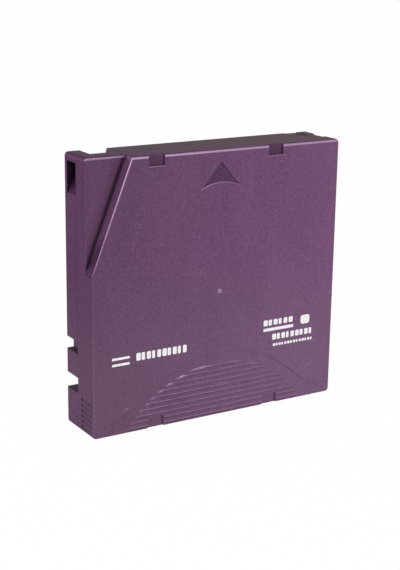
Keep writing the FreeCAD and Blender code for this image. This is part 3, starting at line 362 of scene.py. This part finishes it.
# ---------------------------------------------------------------- materials
def flake_plastic(name, sinks=False):
    """Purple plastic with fine metallic flakes, with light and shade painted into its colour. The broad faces
    are paler, and everything that lies deeper, such as the walls, the notches and the guide, gets a painted
    shade;
    a painted light brightens the colour towards the right and the bottom. The upper edges carry a painted
    highlight, the lower half a painted grey sheen, and whatever faces up turns darker and browner towards
    the window side and the right. sinks adds the sink marks."""
    m = Shader(name)
    at = m.split(m.place)
    front_depth = m.math("SUBTRACT", at["Y"], CAD_LOW.y)
    depth = m.math("MINIMUM", front_depth, m.math("SUBTRACT", CAD_HIGH.y, at["Y"]))
    upward = m.split(m.node("ShaderNodeNewGeometry").outputs["Normal"])["Z"]

    mottle = m.span(m.noise(MOTTLE_SIZE, *FINE_NOISE), *NOISE_SPAN)
    cloud = m.span(m.noise(CLOUD_SIZE, 2.0, 0.5, CLOUD_STRETCH), *CLOUD_SPAN)
    colour = m.blend(mottle, PURPLE_DEEP, PURPLE_PALE)
    colour = m.blend(CLOUD_SHARE, colour, m.blend(cloud, PURPLE, PURPLE_PALE))
    bright = m.span(m.split(m.cells(FLAKE_SIZE))["X"], FLAKE_RARITY, 1.0)
    colour = m.blend(m.math("MULTIPLY", bright, FLAKE_SHARE), colour, FLAKE)

    # Painted light and shade, as one factor on the colour.
    shade = m.product(m.span(at["X"], CAD_LOW.x, CAD_HIGH.x, *PAINTED_LIGHT_ACROSS),
                      m.span(at["Z"], CAD_LOW.z, CAD_HIGH.z, *PAINTED_LIGHT_UP), painted_shade_behind_faces(m, at, depth),
                      painted_pocket_shade(m, at), painted_groove_shade(m, at), painted_guide_light_and_shade(m, at, front_depth),
                      painted_lower_edge_shade(m, at, upward))
    colour = m.scaled(colour, shade)
    # The painted grey sheen on the lower part.
    colour = m.blend(m.span(at["Z"], PAINTED_SHEEN_FROM, PAINTED_SHEEN_FULL, 0, PAINTED_SHEEN_SHARE), colour, PAINTED_SHEEN)
    # Faces that look up turn darker and browner towards the window side and the right.
    upward_tint_share = m.math("ADD", m.span(at["Y"], CAD_LOW.y, CAD_HIGH.y, 0, UPWARD_TINT_ACROSS),
                   m.span(at["X"], CAD_LOW.x, CAD_HIGH.x, 0, UPWARD_TINT_ALONG))
    colour = m.blend(m.product(m.span(upward, *UPWARD_TINT_TILT), upward_tint_share), colour, UPWARD_TINT)
    # The painted highlight on the upper edges.
    colour = m.blend(painted_edge_highlight(m, at, front_depth, upward), colour, PAINTED_HIGHLIGHT)
    m.set(base_color=colour, metallic=m.span(bright, 0, 1, *METALLIC), specular_ior_level=SPECULAR_LEVEL,
          specular_tint=EDGE_TINT, roughness=m.span(mottle, 0, 1, *ROUGHNESS))

    grain = m.bump(m.noise(GRAIN_SIZE, *FINE_NOISE), GRAIN_DEPTH)
    if sinks:
        ring = m.math("ABSOLUTE", m.math("SUBTRACT", m.radius_from(0.0, GATE_HEIGHT / MM), SINK_RING_RADIUS))
        grain = m.bump(m.span(ring, 0, SINK_RING_WIDTH, smooth=True), SINK_RING_DEPTH, under=grain)
        for x, z in SINK_CENTRES:
            grain = m.bump(m.span(m.radius_from(x, z), *SINK_RADII, smooth=True), SINK_DEPTH, under=grain)
    m.set(normal=grain)
    return m.material


def painted_shade_behind_faces(m, at, depth):
    """Painted shade on everything behind the broad faces, such as the walls, the top and the recesses, darker
    towards the right, apart from the floors of the lower notches, which keep the faces' colour.
    """
    # smooth marks what lies behind the broad faces, where the painted shade falls.
    smooth = m.span(depth, FACE_DEPTH - FACE_BLUR, FACE_DEPTH + FACE_BLUR)
    low_notch = m.product(m.below(depth, NOTCH_DEPTH + MARGIN), m.below(at["Z"], NOTCH_TOP))
    darkest = m.span(at["X"], CAD_LOW.x, CAD_HIGH.x, *PAINTED_SHADE_BEHIND)
    return m.span(m.product(smooth, m.rest(low_notch)), 0, 1, 1, darkest)


def painted_pocket_shade(m, at):
    """Painted shade inside the pocket of the left side, darker with each millimetre inwards."""
    inside = m.product(m.between(at["Y"], *POCKET_ACROSS), m.between(at["Z"], *POCKET_UP),
                       m.between(at["X"], CAD_LOW.x + POCKET_MOUTH, CAD_LOW.x + 2 * POCKET_DEPTH))
    inwards = m.span(at["X"], CAD_LOW.x + POCKET_DARKENS, CAD_LOW.x + POCKET_DEPTH, *POCKET_PAINTED_SHADE)
    return m.rest(m.product(inside, inwards))


def painted_groove_shade(m, at):
    """Painted shade in the grooves at the foot of the left side."""
    inside = m.product(m.span(at["X"], *(CAD_LOW.x + depth for depth in GROOVE_DARKENS)),
                       m.below(at["X"], CAD_LOW.x + GROOVE_DEPTH), m.below(at["Z"], GROOVE_TOP),
                       m.between(at["Y"], *(CAD_LOW.y + across for across in GROOVE_ACROSS)))
    return m.span(inside, 0, 1, 1, GROOVE_PAINTED_SHADE)


def painted_lower_edge_shade(m, at, upward):
    """Painted shade on the rounded edges that the cartridge stands on, where they face down."""
    under = m.product(m.span(upward, *LOWER_EDGE_TILT), m.below(at["Z"], LOWER_EDGE_HEIGHT))
    return m.span(under, 0, 1, 1, LOWER_EDGE_PAINTED_SHADE)


def guide_wall_gap(m, at):
    """Distance along X from the guide's slanting wall, beyond it on the left side."""
    rise = m.math("MULTIPLY", m.math("SUBTRACT", CAD_HIGH.z, at["Z"]), GUIDE_WIDTH / GUIDE_LENGTH)
    wall = m.math("SUBTRACT", CAD_LOW.x + GUIDE_WIDTH, rise)
    return m.math("SUBTRACT", wall, at["X"])


def painted_guide_light_and_shade(m, at, depth):
    """Painted light on the guide's wall and floor, and painted shade along the corner between them and at the
    wall's lower end. All of it is weaker in the last few millimetres of that end."""
    gap = m.math("ABSOLUTE", guide_wall_gap(m, at))
    wall = m.product(m.below(gap, GUIDE_WALL_GAP), m.between(depth, GUIDE_WALL_RIM, GUIDE_DEPTH + MARGIN),
                     m.above(at["Z"], GUIDE_LOW_END))
    corner = m.span(gap, *GUIDE_CORNER_GAP)
    floor = m.product(m.rest(wall), m.between(depth, GUIDE_DEPTH - MARGIN, GUIDE_DEPTH + MARGIN),
                      m.above(at["Z"], GUIDE_LOW_END), m.below(at["X"], CAD_LOW.x + GUIDE_WIDTH))
    foot = m.math("MULTIPLY_ADD", depth, GUIDE_FOOT_SLANT, at["Z"])
    on_wall = m.product(m.span(depth, *GUIDE_WALL_DARKENS, GUIDE_WALL_PAINTED_LIGHT, GUIDE_CORNER_PAINTED_SHADE),
                        m.span(foot, *GUIDE_FOOT, GUIDE_FOOT_PAINTED_SHADE, 1.0))
    on_floor = m.span(corner, 0, 1, GUIDE_FLOOR_PAINTED_LIGHT, GUIDE_CORNER_PAINTED_SHADE)
    elsewhere = m.math("SUBTRACT", m.rest(wall), floor)
    shade = m.math("ADD", elsewhere, m.math("ADD", m.product(wall, on_wall), m.product(floor, on_floor)))
    faded = m.span(at["Z"], GUIDE_LOW_END + GUIDE_FADE, GUIDE_LOW_END, 0.0, GUIDE_FADE_SHARE)
    return m.math("ADD", shade, m.product(faded, m.rest(shade)))


def painted_edge_highlight(m, at, depth, upward):
    """How strong the painted highlight is: along the top edges and the guide's edge, and a little on each
    rounded edge of the arrow side that faces up."""
    top_line = m.product(m.soft_between(at["Z"], *TOP_LINE, HIGHLIGHT_TOP_BLUR),
                         m.below(depth, HIGHLIGHT_TOP_DEPTH))
    guide_top = m.product(m.soft_between(at["Z"], *TOP_LINE, HIGHLIGHT_TOP_BLUR),
                          m.between(depth, GUIDE_DEPTH - MARGIN, GUIDE_DEPTH + HIGHLIGHT_GUIDE_RIM),
                          m.below(at["X"], CAD_LOW.x + GUIDE_WIDTH))
    gap = m.math("ABSOLUTE", guide_wall_gap(m, at))
    guide_edge = m.product(m.span(gap, *HIGHLIGHT_GUIDE_GAP), m.below(depth, HIGHLIGHT_GUIDE_DEPTH),
                           m.span(at["Z"], HIGHLIGHT_FROM, CAD_HIGH.z, 0.0, HIGHLIGHT_GUIDE_EDGE))
    rounded = m.product(m.span(upward, *RIM_TILT), m.soft_between(depth, *RIM_DEPTH, RIM_BLUR),
                        m.span(at["Z"], HIGHLIGHT_FROM, CAD_HIGH.z, *RIM_HIGHLIGHT))
    strongest = m.math("MAXIMUM", top_line, m.math("MULTIPLY", guide_top, HIGHLIGHT_GUIDE_TOP))
    return m.math("MAXIMUM", strongest, m.math("MAXIMUM", guide_edge, rounded))


def moulded(name, colour, roughness, vary=0.12, shine=0.5):
    """Plain moulded plastic with a fine spark-eroded grain and a little flow in its colour."""
    m = Shader(name)
    flow = m.span(m.noise(6 * MM, 3.0, 0.55), *NOISE_SPAN)
    darker = tuple(c * (1 - vary) for c in colour)
    paler = tuple(min(1.0, c * (1 + vary)) for c in colour)
    m.set(base_color=m.blend(flow, darker, paler), specular_ior_level=shine,
          roughness=m.span(flow, 0, 1, roughness - 0.05, roughness + 0.05))
    m.set(normal=m.bump(m.noise(MOULDED_GRAIN_SIZE, *FINE_NOISE), GRAIN_DEPTH))
    return m.material


def steel(name, colour, roughness, stretch):
    """Rolled, drawn or turned steel. stretch is smallest along the run of its fine marks."""
    m = Shader(name)
    marks = m.noise(SCRATCH_SIZE, 4.0, 0.65, stretch)
    cloud = m.span(m.noise(5 * MM), *CLOUD_SPAN)
    darker = tuple(c * 0.78 for c in colour)
    m.set(base_color=m.blend(cloud, darker, colour), metallic=1.0,
          roughness=m.span(marks, *NOISE_SPAN, roughness - 0.06, roughness + 0.08))
    m.set(normal=m.bump(marks, 0.004 * MM))
    return m.material


def turned_steel(name, colour, roughness, pitch):
    """Steel with fine turning marks round the reel's axis. pitch is in millimetres."""
    m = Shader(name)
    radius = m.radius_from(0.0, middle_height("drive_plate"))
    wave = m.math("SINE", m.math("MULTIPLY", radius, 2 * math.pi / pitch))
    smear = m.noise(1.2 * MM, *FINE_NOISE)
    m.set(base_color=m.blend(smear, tuple(c * 0.8 for c in colour), colour), metallic=1.0,
          roughness=m.span(smear, *NOISE_SPAN, roughness - 0.05, roughness + 0.08))
    m.set(normal=m.bump(wave, GRAIN_DEPTH))
    return m.material


def middle_height(node):
    """The height of a round node's middle, in millimetres."""
    low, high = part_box(node)
    return low.z / MM + (high.z - low.z) / 2 / MM


def wound_tape(name):
    """The edge of the wound tape: near black, in fine rings with a few proud turns."""
    m = Shader(name)
    radius = m.radius_from(0.0, middle_height("tape_pack"))
    turns = m.node("ShaderNodeTexNoise", noise_dimensions="1D")
    m.put(turns.inputs["Scale"], 1.0)
    m.put(turns.inputs["Detail"], 8.0)
    m.put(turns.inputs["Roughness"], 0.75)
    m.link(m.math("MULTIPLY", radius, 2.4), turns.inputs["W"])
    band = m.span(turns.outputs["Fac"], *NOISE_SPAN)
    m.set(base_color=m.blend(band, (0.018, 0.014, 0.012), (0.075, 0.058, 0.046)),
          roughness=m.span(band, 0, 1, 0.28, 0.42))
    m.set(normal=m.bump(band, 0.02 * MM))
    return m.material


def tape_film(name):
    """The smooth side of the tape, with faint streaks along its run."""
    m = Shader(name)
    streak = m.noise(0.8 * MM, *FINE_NOISE, (1, 1, 0.05))
    m.set(base_color=m.blend(streak, (0.016, 0.013, 0.012), (0.05, 0.04, 0.034)),
          roughness=m.span(streak, *NOISE_SPAN, 0.1, 0.22))
    m.set(normal=m.bump(streak, 0.004 * MM))
    return m.material


def print_ink(name):
    """White pad-printed ink, slightly uneven, with the plastic's grain under it."""
    m = Shader(name)
    patch = m.span(m.noise(0.7 * MM, 4.0, 0.6), 0.25, 0.6)
    m.set(base_color=m.blend(patch, tuple(c * 0.86 for c in PRINT_WHITE), PRINT_WHITE),
          roughness=m.span(patch, 0, 1, 0.55, 0.45))
    m.set(normal=m.bump(m.noise(0.2 * MM, *FINE_NOISE), GRAIN_DEPTH))
    return m.material


def circuit_board(name):
    """Green board with a fine weave."""
    m = Shader(name)
    weave = m.noise(0.3 * MM, *FINE_NOISE)
    m.set(base_color=m.blend(weave, (0.012, 0.045, 0.022), (0.025, 0.09, 0.04)), roughness=0.35)
    m.set(normal=m.bump(weave, 0.005 * MM))
    return m.material


def paint_nodes():
    """A material for every node of the frame."""
    shell = flake_plastic("flake_plastic_shell", sinks=True)
    window_shell = flake_plastic("flake_plastic_window_shell")
    looks = {
        "top_shell": shell,
        "bottom_shell": window_shell,
        "door": moulded("door_plastic", (0.085, 0.040, 0.083), 0.42, vary=0.05, shine=0.12),
        "case_screws": steel("screw_steel", (0.46, 0.46, 0.48), 0.34, (1, 0.1, 1)),
        "reel_hub": moulded("hub_plastic", (0.70, 0.69, 0.66), 0.45),
        "reel_flange": moulded("flange_plastic", (0.70, 0.69, 0.66), 0.42),
        "drive_plate": turned_steel("drive_plate_steel", (0.62, 0.62, 0.63), 0.30, 0.35),
        "tape_pack": wound_tape("wound_tape"),
        "tape_leader": tape_film("tape_film"),
        "brake": moulded("brake_plastic", (0.045, 0.045, 0.05), 0.5),
        "brake_spring": steel("brake_spring_steel", (0.50, 0.50, 0.52), 0.3, (1, 1, 1)),
        "release_pad": moulded("pad_plastic", (0.66, 0.46, 0.05), 0.45),
        "door_spring": steel("door_spring_steel", (0.52, 0.52, 0.54), 0.3, (1, 1, 1)),
        "leader_pin": steel("pin_steel", (0.70, 0.70, 0.72), 0.16, (1, 0.06, 1)),
        "pin_clip": moulded("clip_plastic", (0.035, 0.035, 0.04), 0.48),
        "pin_spring": steel("sheet_spring_steel", (0.58, 0.58, 0.60), 0.28, (0.06, 1, 1)),
        "write_protect_tab": moulded("write_tab_plastic", (0.50, 0.035, 0.022), 0.42),
        "memory_chip": circuit_board("chip_board"),
    }
    for node, material in looks.items():
        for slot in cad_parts[node].material_slots:
            slot.material = material


# ---------------------------------------------------------------- pieces that the frame doesn't have
def mesh_object(name, builder, material):
    """An object whose faces are made by builder, a function of an empty bmesh."""
    mesh = bpy.data.meshes.new(name)
    shape = bmesh.new()
    builder(shape)
    bmesh.ops.recalc_face_normals(shape, faces=shape.faces)
    shape.to_mesh(mesh)
    shape.free()
    mesh.materials.append(material)
    made = bpy.data.objects.new(name, mesh)
    bpy.context.scene.collection.objects.link(made)
    return made


def rounded_bar(low_x, low_z, length, height, corner):
    """The outline of a bar with rounded corners, in (x, z)."""
    left, right = low_x + corner, low_x + length - corner
    low, high = low_z + corner, low_z + height - corner
    centres = ((right, high, 0), (left, high, 1), (left, low, 2), (right, low, 3))
    outline = []
    for x, z, quarter in centres:
        for i in range(PRINT_CORNER_STEPS + 1):
            turn = math.pi / 2 * (quarter + i / PRINT_CORNER_STEPS)
            outline.append((x + corner * math.cos(turn), z + corner * math.sin(turn)))
    return outline


def print_row(name, row, material):
    """One row of plain blocks of white print, on the arrow side's face."""
    left, low, length, height, count = row
    pitch = length / count
    outlines = []
    for i in range(count):
        block = length if count == 1 else pitch * BLOCK_SHARES[i % len(BLOCK_SHARES)]
        corner = min(height, block) * PRINT_CORNER_SHARE
        outlines.append(rounded_bar(CAD_LOW.x + (left + i * pitch) * MM, low * MM, block * MM, height * MM,
                                    corner * MM))

    def build(shape):
        for outline in outlines:
            base = [shape.verts.new((px, CAD_LOW.y, pz)) for px, pz in outline]
            front = [shape.verts.new((px, CAD_LOW.y - PRINT_THICKNESS, pz)) for px, pz in outline]
            shape.faces.new(front)
            shape.faces.new(base)
            for i, j in zip(range(len(outline)), [*range(1, len(outline)), 0]):
                shape.faces.new((base[i], base[j], front[j], front[i]))

    made = mesh_object(name, build, material)
    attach(made, "case")


def gate_mark(material):
    """The small round stub where the plastic entered the mould: a low dome near the middle."""

    def build(shape):
        rings = []
        for share, height in GATE_PROFILE:
            points = []
            for i in range(GATE_SIDES if share else 1):
                turn = 2 * math.pi * i / GATE_SIDES
                points.append(shape.verts.new((GATE_RADIUS * share * math.cos(turn), CAD_LOW.y - height * MM,
                                               GATE_HEIGHT + GATE_RADIUS * share * math.sin(turn))))
            rings.append(points)
        for i in range(GATE_SIDES):
            after = (i + 1) % GATE_SIDES
            shape.faces.new((rings[0][0], rings[1][i], rings[1][after]))
            for inner, outer in zip(rings[1:], rings[2:]):
                shape.faces.new((inner[i], outer[i], outer[after], inner[after]))
        shape.faces.new(rings[-1])

    mark = mesh_object("gate_mark", build, material)
    for face in mark.data.polygons:
        face.use_smooth = True
    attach(mark, "case")


def printed_marks():
    """The rows of print on both sides of the arrow, each a piece of its own."""
    ink = print_ink("white_ink")
    for side, rows in (("left", LEFT_PRINT), ("right", RIGHT_PRINT)):
        for i, row in enumerate(rows):
            print_row(f"print_{side}_{i}", row, ink)


# ---------------------------------------------------------------- springs, copied onto the case
def live_spring(node):
    """A copy of a coil spring's mesh, attached to the case in place of the CAD spring, which is hidden."""
    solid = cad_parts[node]
    made = bpy.data.objects.new(f"{node}_coil", solid.data.copy())
    bpy.context.scene.collection.objects.link(made)
    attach(made, "case")
    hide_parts(node)
    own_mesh(made)


# ---------------------------------------------------------------- studio
def add_camera():
    """The camera, turned round the middle of the CAD box, then shifted across its view and rolled."""
    azimuth, elevation, roll = (math.radians(v) for v in (CAMERA_AZIMUTH, CAMERA_ELEVATION, CAMERA_ROLL))
    back = Vector((math.sin(azimuth) * math.cos(elevation), -math.cos(azimuth) * math.cos(elevation),
                   math.sin(elevation)))
    right = Vector((math.cos(azimuth), math.sin(azimuth), 0))
    up = back.cross(right)
    target = Vector((0, 0, (CAD_LOW.z + CAD_HIGH.z) / 2))
    place = target + back * CAMERA_DISTANCE + right * CAMERA_RIGHT + up * CAMERA_UP
    rolled_right = right * math.cos(roll) + up * math.sin(roll)
    rolled_up = up * math.cos(roll) - right * math.sin(roll)
    turn = Matrix((rolled_right, rolled_up, back)).transposed()
    data = bpy.data.cameras.new("camera")
    data.lens = CAMERA_LENS
    data.sensor_width = CAMERA_SENSOR
    data.clip_start, data.clip_end = CAMERA_CLIP
    camera = bpy.data.objects.new("camera", data)
    camera.matrix_world = Matrix.Translation(place) @ turn.to_4x4()
    bpy.context.scene.collection.objects.link(camera)
    bpy.context.scene.camera = camera


def add_lamp(name, place, size, power):
    """A square softbox that faces the middle of the cartridge."""
    data = bpy.data.lights.new(name, "AREA")
    data.shape = "SQUARE"
    data.energy = power
    data.size = size
    lamp = bpy.data.objects.new(name, data)
    lamp.location = Vector(place)
    aim = Vector(LAMP_AIM) - lamp.location
    lamp.rotation_euler = aim.to_track_quat("-Z", "Y").to_euler()
    bpy.context.scene.collection.objects.link(lamp)


def seen_directly(tree):
    """1 for rays from the camera, and for those that a glossy or clear surface sends on."""
    paths = tree.nodes.new("ShaderNodeLightPath")
    seen = paths.outputs["Is Camera Ray"]
    for kind in ("Is Glossy Ray", "Is Transmission Ray"):
        either = tree.nodes.new("ShaderNodeMath")
        either.operation = "MAXIMUM"
        tree.links.new(seen, either.inputs[0])
        tree.links.new(paths.outputs[kind], either.inputs[1])
        seen = either.outputs[0]
    return seen


def plain_light(tree, kind, strength=1.0):
    """A node that gives off plain white."""
    light = tree.nodes.new(kind)
    light.inputs["Color"].default_value = (*BACKGROUND, 1.0)
    light.inputs["Strength"].default_value = strength
    return light


def mix_into(tree, share, first, second, output_kind):
    """The tree's surface: first where share is 0, and second where it's 1."""
    mix = tree.nodes.new("ShaderNodeMixShader")
    output = tree.nodes.new(output_kind)
    for socket, source in zip(mix.inputs, (share, first.outputs[0], second.outputs[0])):
        tree.links.new(source, socket)
    tree.links.new(mix.outputs[0], output.inputs["Surface"])


def add_world():
    """White to the camera, and a weaker white light on everything else."""
    world = bpy.data.worlds.new("studio")
    bpy.context.scene.world = world
    world.use_nodes = True
    tree = world.node_tree
    tree.nodes.clear()
    soft = plain_light(tree, "ShaderNodeBackground", AMBIENT)
    plain = plain_light(tree, "ShaderNodeBackground")
    mix_into(tree, seen_directly(tree), soft, plain, "ShaderNodeOutputWorld")


def add_floor():
    """A white floor. A share of FLOOR_GLOW looks plain white to the camera, and the rest keeps a faint
    shadow."""
    material = bpy.data.materials.new("white_floor")
    material.use_nodes = True
    tree = material.node_tree
    tree.nodes.clear()
    matt = tree.nodes.new("ShaderNodeBsdfDiffuse")
    matt.inputs["Color"].default_value = (*FLOOR_GREY, 1.0)
    white = plain_light(tree, "ShaderNodeEmission")
    share = tree.nodes.new("ShaderNodeMath")
    share.operation = "MULTIPLY"
    tree.links.new(seen_directly(tree), share.inputs[0])
    share.inputs[1].default_value = FLOOR_GLOW
    mix_into(tree, share.outputs[0], matt, white, "ShaderNodeOutputMaterial")

    def build(shape):
        half = FLOOR_SIZE / 2
        corners = ((-half, -half), (half, -half), (half, half), (-half, half))
        shape.faces.new([shape.verts.new((x, y, CAD_LOW.z)) for x, y in corners])

    mesh_object("floor", build, material)


def add_studio():
    add_world()
    add_floor()
    for lamp in LAMPS:
        add_lamp(*lamp)
    bpy.context.scene.view_settings.view_transform = "Standard"


# ---------------------------------------------------------------- the whole scene
add_camera()
paint_nodes()
printed_marks()
gate_mark(moulded("gate_plastic", GATE_COLOUR, 0.40))
live_spring("brake_spring")
live_spring("door_spring")
add_studio()
